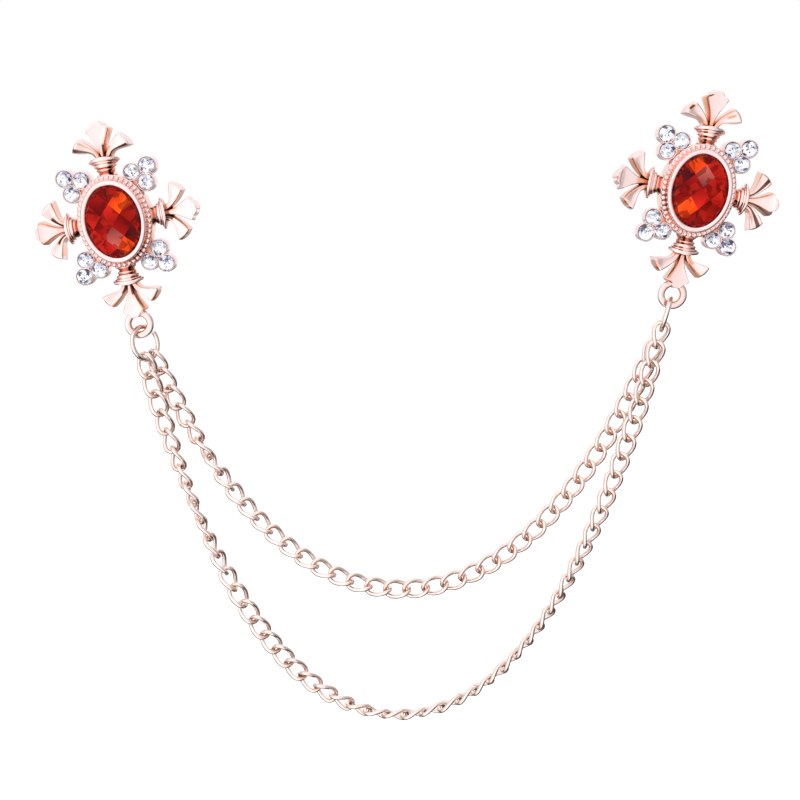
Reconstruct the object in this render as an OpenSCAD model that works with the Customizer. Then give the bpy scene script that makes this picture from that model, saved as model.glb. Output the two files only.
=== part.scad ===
// Lapel chain: two cross brooches set with an oval red stone, joined by two swags of curb chain.
// Millimetres. +X runs from the left brooch to the right one, +Z is up, and the fronts face -Y.
// The origin lies on the left brooch's pin stem, straight behind its stone.
// A brooch is drawn lying on its back: x and y across its face, z up from the back of the casting.

/* [Stone] */
// Width of the oval stone at its girdle
stone_w = 9.6; // [9.4:0.1:10.6]
// Length of the oval stone at its girdle
stone_l = 12.8; // [12.6:0.1:14.2]
// Height of the stone's table over the back of the casting
stone_top = 6.6; // [6.3:0.1:7]
// Width of one diamond facet of the crown
facet_w = 3.4; // [2.8:0.1:4]
// Length of one diamond facet of the crown
facet_l = 3.9; // [3.3:0.1:4.5]

/* [Bezel] */
// Height of the stone's girdle over the back of the casting
girdle_h = 4.25; // [4:0.05:4.5]
// Wall of the smooth lip around the stone
lip_wall = 0.8; // [0.6:0.05:0.9]
// Height of the lip
lip_h = 5.2; // [5:0.05:5.6]
// Width of the beaded border outside the lip
border_w = 0.95; // [0.85:0.05:1.2]
// Height of the border's flat top
border_h = 3.6; // [3.2:0.1:4]
// Diameter of a bead on the border
bead_d = 0.78; // [0.6:0.02:0.84]
// Distance from one bead to the next
bead_pitch = 0.9; // [0.9:0.05:1.4]

/* [Arms] */
// Width of an arm's neck
neck_w = 3.1; // [3:0.1:4]
// Length of the neck on the side arms
neck_side = 1; // [0.9:0.1:1.7]
// Length of the neck on the top and bottom arms
neck_end = 1.7; // [1.6:0.1:2.6]
// Number of rounded bands round a neck
neck_bands = 3; // [2:1:4]
// Width of the collar where the petals leave it
collar_w = 5.6; // [4.8:0.1:5.8]
// Length of the collar along the arm
collar_l = 1.4; // [1.1:0.1:1.7]
// Height of the collar over the back
collar_h = 3.7; // [3.4:0.1:4.2]
// Height of the petals over the back
petal_h = 3.2; // [2.6:0.1:3.3]
// Length of the middle petal from the collar to its peak, on the top and bottom arms
middle_end = 6.1; // [5.4:0.1:6.8]
// Length of the middle petal on the side arms
middle_side = 5.6; // [4.9:0.1:6.3]
// Width of the middle petal across its corners
middle_w = 4; // [3.4:0.1:4.2]
// Length of the side petals along the arm
side_l = 3.6; // [3.4:0.1:4.4]
// Width of the whole fan across the side petals
fan_w = 10.1; // [8.8:0.1:10.4]

/* [Clusters] */
// Diameter of a round stone
crystal_d = 2.72; // [2.4:0.04:2.8]
// Wall of the cup round it
cup_wall = 0.23; // [0.2:0.01:0.3]
// Gap between two neighbouring round stones of a cluster
crystal_gap = 0.22; // [0.2:0.02:0.4]
// Height of a cup's rim over the back
cup_h = 2.9; // [2.6:0.1:3.2]
// Distance across the brooch from one cluster's middle to the other's
cluster_dx = 12.4; // [12:0.1:13]
// Distance along the brooch from one cluster's middle to the other's
cluster_dy = 15; // [14.6:0.1:15.6]

/* [Loop and jump ring] */
// Hole radius of the cast loop below the bottom petal
loop_hole_r = 1.35; // [1.3:0.05:1.6]
// Outer radius of the cast loop
loop_r = 2.68; // [2.5:0.02:2.7]
// Thickness of the cast loop
loop_t = 1.2; // [1:0.05:1.3]
// Wire of the jump rings
ring_wire = 0.9; // [0.8:0.02:0.94]
// Radius of a jump ring to the middle of its wire
ring_r = 3.025; // [3:0.025:3.3]
// Length of the cut where a jump ring was opened
ring_cut = 0.5; // [0.3:0.1:1.5]

/* [Chains] */
// Wire of a chain link
link_wire = 0.8; // [0.74:0.02:0.82]
// Outer length of a link
link_l = 5.39; // [5.2:0.01:5.6]
// Outer width of a link
link_w = 3.75; // [3.7:0.05:3.95]
// Rise and fall of a link's twisted wire
link_rise = 0.6; // [0.54:0.02:0.64]
// Length of the inner chain
inner_l = 142.8; // [130:0.1:160]
// Length of the outer chain
outer_l = 184; // [165:0.1:200]

/* [Pins] */
// Length of a pin's bar
bar_l = 18; // [16:0.5:19]
// Width of the bar
bar_w = 2.2; // [1.8:0.1:2.6]
// Thickness of the bar
bar_t = 0.7; // [0.5:0.05:0.9]
// Diameter of the pin stem
stem_d = 0.8; // [0.7:0.05:1]
// Distance from the casting's back to the middle of the stem
stem_out = 2.6; // [2.3:0.1:3.2]

/* [Where they hang] */
// Distance across from the left stone to the right one
spread = 102.7; // [96:0.1:108]
// Height of the right stone over the left one
rise = 5.3; // [0:0.1:10]
// Lean of the left brooch
lean_left = -9.5; // [-14:0.5:14]
// Lean of the right brooch
lean_right = 10.2; // [-14:0.1:14]
// Turn of the left jump ring from facing the viewer
yaw_left = 55; // [54:1:60]
// Turn of the right jump ring from facing the viewer
yaw_right = 78; // [76:1:84]

/* [Hidden] */

rose_gold = "#f0c4ae";
ruby_red = "#b01010";
clear_white = "#e8ecf4";
merge = 0.3; // soldered pieces reach this far into each other

// Stone and seat
stone_fit = 0.06;    // gap between a stone and its seat
girdle_t = 0.3;      // thickness of the girdle
lip_grip = 0.18;     // how far the lip reaches in over the girdle
rim_inset = 0.4;     // width of the sloping band between the girdle and the crown's facets
facet_step = 0.64;   // drop of the dome over one facet
facet_shift = 1.2;   // how far the facets' pattern lies off the stone's middle
pavilion_inset = 3;  // how far the stone narrows to its flat back
pavilion_h = 1.7;    // height of the stone's flat back over the back of the casting
ledge_w = 1.2;       // width of the ledge that the stone sits on
seat_floor = 0.8;    // metal left under the stone
girdle_top = girdle_h + girdle_t;
ledge_h = girdle_h - (girdle_h - pavilion_h) * (ledge_w + 2 * stone_fit) / pavilion_inset;
rim_h = girdle_top + (dome_z(stone_w / 2 - rim_inset, 0) - girdle_top) * (lip_grip + stone_fit) / rim_inset;
seat_rx = stone_w / 2 + stone_fit;
seat_ry = stone_l / 2 + stone_fit;
lip_rx = seat_rx + lip_wall;
lip_ry = seat_ry + lip_wall;
border_rx = lip_rx + border_w;
border_ry = lip_ry + border_w;
oval_steps = 48;
thin = 0.01;         // thickness of a flat slab at a hull's end

// Arms: [turn, radius of the border there, length of the neck, length of the middle petal]
ARMS = [
    [0, border_rx, neck_side, middle_side],
    [90, border_ry, neck_end, middle_end],
    [180, border_rx, neck_side, middle_side],
    [270, border_ry, neck_end, middle_end]];
neck_core = 0.9;     // a neck's core as a share of its bands' radius
collar_edge = 0.5;   // width of the raised band at the collar's outer end, and its height

// Petal outlines: [across as a share of half the width, along as a share of the length]
MIDDLE_PETAL = [
    [0.17, -0.08], [0.18, 0.08], [0.27, 0.24], [0.45, 0.41], [0.70, 0.57],
    [0.93, 0.71], [1, 0.78], [0.82, 0.84], [0.61, 0.87], [0.50, 0.93], [0.30, 0.985], [0, 1]];
SIDE_PETAL = [
    [0.08, -0.13], [0.12, 0.12], [0.22, 0.36], [0.36, 0.60], [0.53, 0.83], [0.69, 1],
    [0.90, 0.77], [1, 0.47], [0.86, 0.40], [0.68, 0.33], [0.50, 0.25], [0.36, 0.12], [0.26, -0.13]];

// Clusters of three round stones, at these corners of the brooch
CORNERS = [[1, 1], [-1, 1], [-1, -1], [1, -1]];
crystal_fit = 0.05;
cup_hole_r = crystal_d / 2 + crystal_fit;
cup_r = cup_hole_r + cup_wall;
cluster_r = (crystal_d + crystal_gap) / sqrt(3);
cup_floor = 1.1;     // metal under a round stone
crystal_seat = 0.05; // depth of the girdle's top below the cup's rim
// Brilliant cut, as shares of the diameter
table_share = 0.56;
crown_share = 0.15;
pavilion_share = 0.42;
girdle_share = 0.03;
web_h = 2;           // height of the webs between the cups and the border
web_w = 1.6;

// Cast loop, jump ring and the way they hang
loop_chamfer = 0.35;
loop_gap_left = 0.32;  // how far the left jump ring's wire hangs clear of its loop's hole
loop_gap_right = 0.26; // the same on the right, where the ring is turned edge-on
ring_swing = 15;     // a jump ring's lean toward the middle of the chains
loop_y = -(border_ry + neck_end + collar_l + middle_end + loop_hole_r);
cut_from = 28;       // where a jump ring's cut begins, from its right limb upward
chain_y = -stem_out - loop_t / 2;

// Chains
link_play = 0.17;    // least slack between two links' wires
longest_pitch = link_l - 2 * link_wire - link_play;
half_w = (link_w - link_wire) / 2;
half_l = (link_l - link_wire) / 2;
link_steps = 12;
wire_sides = 5;
hook_arc = 1.2;      // from a jump ring's lowest point, along its wire, to a chain's first link
hook_gap = 0.3;      // slack between a jump ring and a chain's first link
reach = half_l - (ring_wire + link_wire) / 2 - hook_gap;
settle = 4;          // links from a jump ring until a chain has come to its own plane
roll_settle = 2;     // links until it has lost the roll that the jump ring gives it
inner_lay = 1.1;     // the inner chain hangs this far behind the jump rings' middle
outer_lay = -1.25;   // the outer chain hangs this far in front of it
inner_hook_roll = [16, 30]; // roll of the first link at the left and right jump rings
outer_hook_roll = [0, 30];

// Roll of a chain's links about its own line: [share of the chain, roll in degrees]
INNER_ROLL = [
    [0, 0], [0.04, 5], [0.09, 32], [0.20, 125], [0.42, 135], [0.58, 180], [1, 180]];
OUTER_ROLL = [
    [0, 0], [0.04, 5], [0.10, 50], [0.18, 85], [0.22, 110], [0.29, 178], [0.36, 180], [0.44, 236],
    [0.46, 248], [0.48, 239], [0.50, 251], [0.52, 241], [0.54, 252], [0.58, 252], [0.60, 243], [0.62, 251],
    [0.68, 245], [0.76, 225], [0.88, 190], [1, 180]];

// Pin
bar_gap = 0.1;       // between the bar and the casting's back
post_l = 1.8;        // length of the hinge and catch posts
stem_tip = 1.2;      // how far the stem's point reaches past the catch
tip_d = 0.2;
eye_wall = 0.5;      // metal round the stem in a post's eye

function digits(i) = i < 10 ? str("0", i) : str(i);
function crystal_name(side, i) = str("crystal_", side, "_", digits(i));
function sinh(x) = (exp(x) - exp(-x)) / 2;
function asinh(x) = ln(x + sqrt(x * x + 1));
function atanh(x) = ln((1 + x) / (1 - x)) / 2;
function cosh(x) = (exp(x) + exp(-x)) / 2;
function unit(v) = v / norm(v);
function mix(a, b, t) = a + (b - a) * t;
function within(v, lo, hi) = min(max(v, lo), hi);

// Point of an oval at an angle of its parameter
function oval_point(rx, ry, t) = [rx * cos(t), ry * sin(t)];
function oval(rx, ry) = [for (i = [0 : oval_steps - 1]) oval_point(rx, ry, 360 * i / oval_steps)];

// Length along an oval up to each of n equal steps of the parameter
function oval_run(rx, ry, n, i = 0, sum = 0) =
    i > n ? [] :
    let (step = norm(oval_point(rx, ry, 360 * (i + 1) / n) - oval_point(rx, ry, 360 * i / n)))
    concat([[sum, 360 * i / n]], oval_run(rx, ry, n, i + 1, sum + step));

// Points at equal distances along an oval, about one pitch apart
function oval_row(rx, ry, pitch) =
    let (run = oval_run(rx, ry, 180),
         around = run[180][0],
         count = round(around / pitch))
    [for (i = [0 : count - 1]) oval_point(rx, ry, lookup(around * i / count, run))];

module oval_slab(inset, z, height) {
    translate([0, 0, z])
        linear_extrude(height)
            polygon(oval(stone_w / 2 - inset, stone_l / 2 - inset));
}

module oval_prism(rx, ry, z0, z1) {
    translate([0, 0, z0])
        linear_extrude(z1 - z0)
            polygon(oval(rx, ry));
}

// Stone: the corners of its diamond cells lie on a shallow dome, so each cell is one flat facet
module gem() {
    crown = concat(crown_corners(), crown_rim());
    hull() {
        oval_slab(pavilion_inset, pavilion_h, thin);
        oval_slab(0, girdle_h, girdle_t);
        polyhedron(crown, [[for (i = [0 : len(crown) - 1]) i]]);
    }
}

function dome_z(x, y) = stone_top - (pow(x / facet_w, 2) + pow(y / facet_l, 2)) * facet_step;

// Corners of the cells that lie inside the crown's rim
function crown_corners() =
    [for (i = [-5 : 5])
        for (j = [-5 : 5])
            let (x = i * facet_w / 2,
                 y = j * facet_l / 2 + facet_shift,
                 share = [x / (stone_w / 2 - rim_inset), y / (stone_l / 2 - rim_inset)])
            if (abs(i + j) % 2 == 1 && norm(share) < 0.96)
                [x, y, dome_z(x, y)]];

function crown_rim() =
    [for (p = oval(stone_w / 2 - rim_inset, stone_l / 2 - rim_inset)) [p[0], p[1], dome_z(p[0], p[1])]];

// Casting: bezel, arms, clusters and the loop, soldered into one piece
module casting() {
    difference() {
        union() {
            oval_prism(lip_rx, lip_ry, 0, lip_h);
            oval_prism(border_rx, border_ry, 0, border_h);
            beads();
            for (arm = ARMS)
                rotate([0, 0, arm[0]])
                    translate([arm[1], 0, 0])
                        fan_arm(arm[2], arm[3]);
            for (corner = CORNERS)
                at_corner(corner)
                    cluster();
            translate([0, loop_y, 0])
                cast_loop();
        }
        stone_seat();
        for (corner = CORNERS)
            at_corner(corner)
                cluster_seats();
        translate([0, loop_y, -1])
            cylinder(h = loop_t + petal_h, r = loop_hole_r, $fn = 48);
    }
}

module beads() {
    for (p = oval_row(lip_rx + border_w / 2, lip_ry + border_w / 2, bead_pitch))
        translate([p[0], p[1], border_h])
            sphere(d = bead_d, $fn = 24);
}

// Hollow for the stone: well, ledge, and the opening that the lip leaves
module stone_seat() {
    grip = stone_fit + lip_grip;
    oval_prism(seat_rx - ledge_w, seat_ry - ledge_w, seat_floor, rim_h);
    oval_prism(seat_rx, seat_ry, ledge_h, rim_h);
    oval_prism(seat_rx - grip, seat_ry - grip, ledge_h, lip_h + merge);
}

// Arm along +x from the border: banded neck, collar and three petals
module fan_arm(neck_l, middle_l) {
    neck(neck_l);
    translate([neck_l, 0, 0])
        collar();
    translate([neck_l + collar_l, 0, 0])
        petals(middle_l);
}

// The bands are rounded rings round the arm's axis, and the back is cut flat
module neck(length) {
    r = neck_w / 2;
    band_r = length / neck_bands / 2;
    difference() {
        translate([0, 0, r])
            rotate([0, 90, 0])
                union() {
                    translate([0, 0, -merge])
                        cylinder(h = length + 2 * merge, r = r * neck_core, $fn = 48);
                    for (i = [0 : neck_bands - 1])
                        translate([0, 0, (2 * i + 1) * band_r])
                            rotate_extrude($fn = 48)
                                translate([r - band_r, 0])
                                    circle(r = band_r * 1.04, $fn = 24);
                }
        translate([-length, -neck_w, -neck_w])
            cube([3 * length, 2 * neck_w, neck_w]);
    }
}

module collar() {
    linear_extrude(collar_h - collar_edge)
        polygon([
            [-merge, -neck_w / 2],
            [collar_l, -collar_w / 2],
            [collar_l, collar_w / 2],
            [-merge, neck_w / 2]]);
    translate([collar_l - collar_edge, -collar_w / 2, 0])
        cube([collar_edge, collar_w, collar_h]);
}

module petals(middle_l) {
    last = len(MIDDLE_PETAL) - 1;
    right = outline(MIDDLE_PETAL, middle_l, middle_w, -1);
    left = outline(MIDDLE_PETAL, middle_l, middle_w, 1);
    linear_extrude(petal_h)
        polygon(concat(right, [for (i = [last - 1 : -1 : 0]) left[i]]));
    for (side = [1, -1])
        linear_extrude(petal_h)
            polygon(outline(SIDE_PETAL, side_l, fan_w, side));
}

function outline(shares, length, width, side) =
    [for (p = shares) [p[1] * length, side * p[0] * width / 2]];

// A cluster's place, with its x axis pointing away from the stone at 45 degrees
module at_corner(corner) {
    translate([corner[0] * cluster_dx / 2, corner[1] * cluster_dy / 2, 0])
        rotate([0, 0, atan2(corner[1], corner[0])])
            children();
}

function cluster_place(i) = [cluster_r * cos(120 * i), cluster_r * sin(120 * i), 0];

module cluster() {
    cup_base = cluster_r + cup_r;
    for (i = [0 : 2])
        translate(cluster_place(i))
            cylinder(h = cup_h, r = cup_r, $fn = 48);
    translate([-cup_base, -web_w / 2, 0])
        cube([cup_base, web_w, web_h]);
}

module cluster_seats() {
    for (i = [0 : 2])
        translate(cluster_place(i) + [0, 0, cup_floor])
            cylinder(h = cup_h, r = cup_hole_r, $fn = 48);
}

// Round stone, drawn with the top of its girdle at z = 0
module crystal() {
    hull() {
        translate([0, 0, crystal_d * crown_share - 0.01])
            cylinder(h = 0.01, d = crystal_d * table_share, $fn = 8);
        translate([0, 0, -crystal_d * girdle_share])
            rotate([0, 0, 11.25])
                cylinder(h = crystal_d * girdle_share, d = crystal_d, $fn = 16);
        translate([0, 0, -crystal_d * pavilion_share])
            cylinder(h = 0.01, d = 0.1, $fn = 8);
    }
}

module cluster_crystal(i) {
    at_corner(CORNERS[floor((i - 1) / 3)])
        translate(cluster_place((i - 1) % 3) + [0, 0, cup_h - crystal_seat])
            crystal();
}

// Ring with chamfered edges that lies behind the bottom petal
module cast_loop() {
    c = loop_chamfer;
    rotate_extrude($fn = 64)
        polygon([
            [loop_hole_r, c],
            [loop_hole_r + c, 0],
            [loop_r, 0],
            [loop_r, c],
            [loop_r - c, loop_t],
            [loop_hole_r + c, loop_t],
            [loop_hole_r, loop_t - c]]);
}

// Bar pin behind the casting: bar, hinge and catch posts and the stem, in one piece
module bar_pin() {
    color(rose_gold) {
        translate([-bar_l / 2, -bar_w / 2, -bar_gap - bar_t])
            cube([bar_l, bar_w, bar_t]);
        for (s = [1, -1])
            translate([s * (bar_l - post_l) / 2, 0, -stem_out])
                pin_post();
        translate([-bar_l / 2 + post_l / 2, 0, -stem_out])
            rotate([0, 90, 0])
                cylinder(h = bar_l - post_l / 2, d = stem_d, $fn = 24);
        translate([bar_l / 2, 0, -stem_out])
            rotate([0, 90, 0])
                cylinder(h = stem_tip, d1 = stem_d, d2 = tip_d, $fn = 24);
    }
}

module pin_post() {
    eye_d = stem_d + 2 * eye_wall;
    translate([-post_l / 2, 0, 0])
        rotate([0, 90, 0])
            cylinder(h = post_l, d = eye_d, $fn = 32);
    translate([-post_l / 2, -eye_d / 2, 0])
        cube([post_l, eye_d, stem_out - bar_gap - bar_t / 2]);
}

// A brooch's place: upright behind its stone, leaning about the view
module hang(place, lean) {
    translate([place[0], -stem_out, place[1]])
        rotate([0, lean, 0])
            rotate([90, 0, 0])
                children();
}

module at_left() {
    hang([0, 0], lean_left)
        children();
}

module at_right() {
    hang([spread, rise], lean_right)
        children();
}

// Middle of a jump ring, hanging from the cast loop and leaning toward the middle of the chain
function loop_place(place, lean) = place + loop_y * [sin(lean), cos(lean)];
function ring_place(place, lean, swing, gap) =
    let (drop = loop_hole_r - ring_wire / 2 - gap + ring_r)
    loop_place(place, lean) + drop * [sin(swing), -cos(swing)];

// Point of a jump ring's centreline, a distance along its wire behind its lowest point
function ring_point(middle, swing, yaw, along) =
    let (t = along / ring_r * 180 / PI,
         out = ring_r * sin(t),
         down = ring_r * cos(t))
    [middle[0] + out * cos(yaw) * cos(swing) + down * sin(swing),
     chain_y + out * sin(yaw),
     middle[1] + out * cos(yaw) * sin(swing) - down * cos(swing)];

left_ring = ring_place([0, 0], lean_left, ring_swing, loop_gap_left);
right_ring = ring_place([spread, rise], lean_right, -ring_swing, loop_gap_right);

module jump_ring(middle, swing, yaw) {
    cut = ring_cut / ring_r * 180 / PI;
    color(rose_gold)
        translate([middle[0], chain_y, middle[1]])
            rotate([0, -swing, 0])
                rotate([0, 0, yaw])
                    rotate([90, 0, 0])
                        rotate([0, 0, cut_from + cut])
                            rotate_extrude(angle = 360 - cut, $fn = 64)
                                translate([ring_r, 0])
                                    circle(d = ring_wire, $fn = 24);
}

// The m for which sinh(m) / m is k, found by halving
function slack(k, lo = 0.001, hi = 8, n = 50) =
    let (m = (lo + hi) / 2)
    n == 0 ? m : sinh(m) / m < k ? slack(k, m, hi, n - 1) : slack(k, lo, m, n - 1);

// Curve of a chain hung from a to b: [scale, x of its lowest point, height offset]
function catenary(a, b, length) =
    let (dx = b[0] - a[0],
         dz = b[1] - a[1],
         scale = dx / 2 / slack(sqrt(length * length - dz * dz) / dx),
         x0 = (a[0] + b[0]) / 2 - scale * atanh(dz / length))
    [scale, x0, a[1] - scale * cosh((a[0] - x0) / scale)];

// Stations of a chain's links: [middle, slope of the chain, roll]
function stations(length, arc, lay, rolls, hook_rolls) =
    let (n = ceil((length - link_l) / longest_pitch) + 1,
         pitch = (length - link_l) / (n - 1),
         a = ring_point(left_ring, ring_swing, yaw_left, arc),
         b = ring_point(right_ring, -ring_swing, yaw_right, arc),
         curve = catenary([a[0], a[2]], [b[0], b[2]], (n - 1) * pitch + 2 * reach),
         start = curve[0] * sinh((a[0] - curve[1]) / curve[0]) + reach)
    [for (i = [0 : n - 1])
        let (q = start + i * pitch,
             end = min(i, n - 1 - i),
             hook = i < n / 2 ? a : b,
             hook_roll = hook_rolls[i < n / 2 ? 0 : 1],
             y = mix(hook[1], chain_y + lay, within(end / settle, 0, 1)),
             extra = mix(hook_roll, 0, within(end / roll_settle, 0, 1)))
        [[curve[1] + curve[0] * asinh(q / curve[0]), y, curve[2] + sqrt(pow(curve[0], 2) + q * q)],
         atan2(q, curve[0]),
         lookup(i / (n - 1), rolls) + extra]];

// Centreline of a link, x across it and y along it, and its direction there
function link_point(t) = [half_w * cos(t), half_l * sin(t), link_rise * sin(2 * t)];
function link_course(t) = unit([-half_w * sin(t), half_l * cos(t), 2 * link_rise * cos(2 * t)]);

// Points of a link's wire, ring by ring
function link_wire_points() =
    [for (i = [0 : link_steps - 1])
        let (t = 360 * (i + 0.5) / link_steps,
             side = unit(cross(link_course(t), [0, 0, 1])),
             up = cross(side, link_course(t)))
        for (j = [0 : wire_sides - 1])
            link_point(t) + link_wire / 2 * (cos(360 * j / wire_sides) * side + sin(360 * j / wire_sides) * up)];

// A link's points carried to a station: across, along and toward the viewer
function carried(points, station) =
    let (slope = station[1],
         roll = station[2],
         along = [cos(slope), 0, sin(slope)],
         front = [0, -1, 0],
         across = cross(along, front),
         side = cos(roll) * across - sin(roll) * front,
         face = sin(roll) * across + cos(roll) * front)
    [for (p = points) station[0] + p[0] * side + p[1] * along + p[2] * face];

function link_faces(first) =
    [for (i = [0 : link_steps - 1])
        for (j = [0 : wire_sides - 1])
            let (i1 = (i + 1) % link_steps,
                 j1 = (j + 1) % wire_sides,
                 a = first + i * wire_sides + j,
                 b = first + i1 * wire_sides + j,
                 c = first + i1 * wire_sides + j1,
                 d = first + i * wire_sides + j1)
            each [[a, d, c], [a, c, b]]];

module chain(places) {
    wire = link_wire_points();
    count = len(places);
    color(rose_gold)
        polyhedron(
            points = [for (s = places) each carried(wire, s)],
            faces = [for (k = [0 : count - 1]) each link_faces(k * link_steps * wire_sides)],
            convexity = 10);
}

module brooch_left() color(rose_gold) at_left() casting();
module brooch_right() color(rose_gold) at_right() casting();
module gem_left() color(ruby_red) at_left() gem();
module gem_right() color(ruby_red) at_right() rotate([0, 0, 180]) gem();
module crystal_left(i) color(clear_white) at_left() cluster_crystal(i);
module crystal_right(i) color(clear_white) at_right() cluster_crystal(i);
module pin_left() at_left() bar_pin();
module pin_right() at_right() bar_pin();
module jump_ring_left() jump_ring(left_ring, ring_swing, yaw_left);
module jump_ring_right() jump_ring(right_ring, -ring_swing, yaw_right);
module chain_inner() chain(stations(inner_l, hook_arc, inner_lay, INNER_ROLL, inner_hook_roll));
module chain_outer() chain(stations(outer_l, -hook_arc, outer_lay, OUTER_ROLL, outer_hook_roll));

brooch_left();
brooch_right();
gem_left();
gem_right();
pin_left();
pin_right();
jump_ring_left();
jump_ring_right();
chain_inner();
chain_outer();
for (i = [1 : 12]) crystal_left(i);
for (i = [1 : 12]) crystal_right(i);
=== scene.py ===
import bpy
import bmesh
import math
import random
from mathutils import Matrix, Vector


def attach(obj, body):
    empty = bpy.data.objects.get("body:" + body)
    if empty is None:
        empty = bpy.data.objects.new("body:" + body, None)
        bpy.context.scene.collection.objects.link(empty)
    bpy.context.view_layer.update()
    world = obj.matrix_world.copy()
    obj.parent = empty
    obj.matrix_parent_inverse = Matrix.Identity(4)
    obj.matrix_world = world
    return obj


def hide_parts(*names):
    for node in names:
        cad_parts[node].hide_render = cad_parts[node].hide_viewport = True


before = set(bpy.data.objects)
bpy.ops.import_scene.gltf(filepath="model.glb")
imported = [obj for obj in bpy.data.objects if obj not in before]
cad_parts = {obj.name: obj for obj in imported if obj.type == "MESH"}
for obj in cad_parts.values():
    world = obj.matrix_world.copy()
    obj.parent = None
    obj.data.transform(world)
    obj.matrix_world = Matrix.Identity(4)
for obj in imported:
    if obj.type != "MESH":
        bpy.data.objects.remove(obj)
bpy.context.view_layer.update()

MM = 0.001

# Sizes of the part, in millimetres and degrees.
# A brooch is drawn on its back, with x across, y up and z to the front.

# Red stones
STONE_W, STONE_L, STONE_TOP = 9.6, 12.8, 6.6
FACET_W, FACET_L, FACET_STEP, FACET_SHIFT = 3.4, 3.9, 0.64, 1.2
GIRDLE_H, GIRDLE_T, RIM_INSET = 4.25, 0.3, 0.4
PAVILION_INSET, PAVILION_H = 3.0, 1.7

# Bezel: seat, lip and the border with its beads
STONE_FIT, LIP_GRIP, LIP_WALL, LIP_H = 0.06, 0.18, 0.8, 5.2
LEDGE_W, SEAT_FLOOR = 1.2, 0.8
SEAT_H = GIRDLE_H - (GIRDLE_H - PAVILION_H) * (LEDGE_W + 2 * STONE_FIT) / PAVILION_INSET
BORDER_W, BORDER_H, BEAD_D, BEAD_PITCH = 0.95, 3.6, 0.78, 0.9
BEAD_SHAPE = (1.18, 1.08, 0.95)
BEAD_SINK = 0.2  # how much lower the beads lie away from the border's shaded side
BORDER_RX = STONE_W / 2 + STONE_FIT + LIP_WALL + BORDER_W
BORDER_RY = STONE_L / 2 + STONE_FIT + LIP_WALL + BORDER_W

# Arms: neck, collar and three petals
NECK_W, NECK_SIDE, NECK_END = 3.1, 1.0, 1.7
COLLAR_L, COLLAR_H = 1.4, 3.7
PETAL_H, MIDDLE_END, MIDDLE_SIDE, MIDDLE_W, SIDE_L, FAN_W = 3.2, 6.1, 5.6, 4.0, 3.6, 10.1

# Clusters of three clear stones in cups
CRYSTAL_D, CRYSTAL_GAP, CRYSTAL_FIT, CRYSTAL_SEAT = 2.72, 0.22, 0.05, 0.05
CUP_WALL, CUP_H, CUP_FLOOR = 0.23, 2.9, 1.1
CLUSTER_DX, CLUSTER_DY, WEB_H, WEB_W = 12.4, 15.0, 2.0, 1.6
SOLDER_FOOT_R, SOLDER_TOP_R, SOLDER_DROP, WEB_FOOT = 0.75, 0.55, 0.5, 0.15
CORNERS = [(1, 1), (-1, 1), (-1, -1), (1, -1)]
CUP_HOLE_R = CRYSTAL_D / 2 + CRYSTAL_FIT
CUP_R = CUP_HOLE_R + CUP_WALL
CLUSTER_R = (CRYSTAL_D + CRYSTAL_GAP) / math.sqrt(3)

# Brilliant cut: radii as shares of the stone's radius, heights as shares of its diameter
TABLE_R, STAR_R, BACK_R = 0.56, 0.80, 0.5
CROWN_H, STAR_H, BELT_H, BACK_H, PAVILION_TIP = 0.15, 0.088, 0.03, 0.24, 0.42

# Cast loops, jump rings and links
LOOP_HOLE_R, LOOP_R, LOOP_T = 1.35, 2.68, 1.2
LOOP_Y = -(BORDER_RY + NECK_END + COLLAR_L + MIDDLE_END + LOOP_HOLE_R)
RING_WIRE, RING_R, RING_CUT, RING_SWING, CUT_FROM = 0.9, 3.025, 0.5, 15.0, 28.0
RING_GAPS = {"left": 0.32, "right": 0.26}
RING_YAWS = {"left": 55.0, "right": 78.0}
LINK_WIRE, LINK_L, LINK_W, LINK_RISE, LINK_PLAY = 0.8, 5.39, 3.75, 0.6, 0.17
HOOK_GAP = 0.3  # between a jump ring's wire and the end of its first link

# Pins
BAR_L, BAR_W, BAR_T, BAR_GAP, BAR_EDGE = 18.0, 2.2, 0.7, 0.1, 0.08
STEM_D, STEM_OUT, STEM_TIP, POST_L, EYE_WALL, EYE_EDGE = 0.8, 2.6, 1.2, 1.8, 0.5, 0.1

# How the two brooches hang
PLACES = {"left": (0.0, 0.0), "right": (102.7, 5.3)}
LEANS = {"left": -9.5, "right": 10.2}
CHAIN_Y = -STEM_OUT - LOOP_T / 2

TURN = 2 * math.pi
QUARTER = TURN / 4


# Node sums

class Wire:
    """An output socket of a node tree. Sums on it add Math nodes."""

    def __init__(self, tree, socket):
        self.tree = tree
        self.socket = socket

    def maths(self, kind, *others):
        values = dict(enumerate((self,) + others))
        return add_node(self.tree, "Math", {"operation": kind}, values)

    def __add__(self, other):
        return self.maths("ADD", other)

    def __radd__(self, other):
        return self.maths("ADD", other)

    def __sub__(self, other):
        return self.maths("SUBTRACT", other)

    def __rsub__(self, other):
        return self.maths("MULTIPLY", -1.0).maths("ADD", other)

    def __mul__(self, other):
        return self.maths("MULTIPLY", other)

    def __rmul__(self, other):
        return self.maths("MULTIPLY", other)

    def clamp(self, low=0.0, high=1.0):
        return self.maths("MAXIMUM", low).maths("MINIMUM", high)

    def step(self, low, high):
        """0 below low, 1 above high, smooth between them."""
        settings = {"interpolation_type": "SMOOTHSTEP"}
        values = {"Value": self, "From Min": low, "From Max": high}
        return add_node(self.tree, "MapRange", settings, values)


def add_node(tree, kind, settings=None, values=None, out=0):
    """Adds one shader node: its settings first, then its inputs' values or links."""
    made = tree.nodes.new("ShaderNode" + kind)
    for name, value in (settings or {}).items():
        setattr(made, name, value)
    for key, value in (values or {}).items():
        if isinstance(value, Wire):
            tree.links.new(value.socket, made.inputs[key])
        else:
            made.inputs[key].default_value = value
    return Wire(tree, made.outputs[out])


def colour(red, green, blue):
    return (red, green, blue, 1.0)


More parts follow.
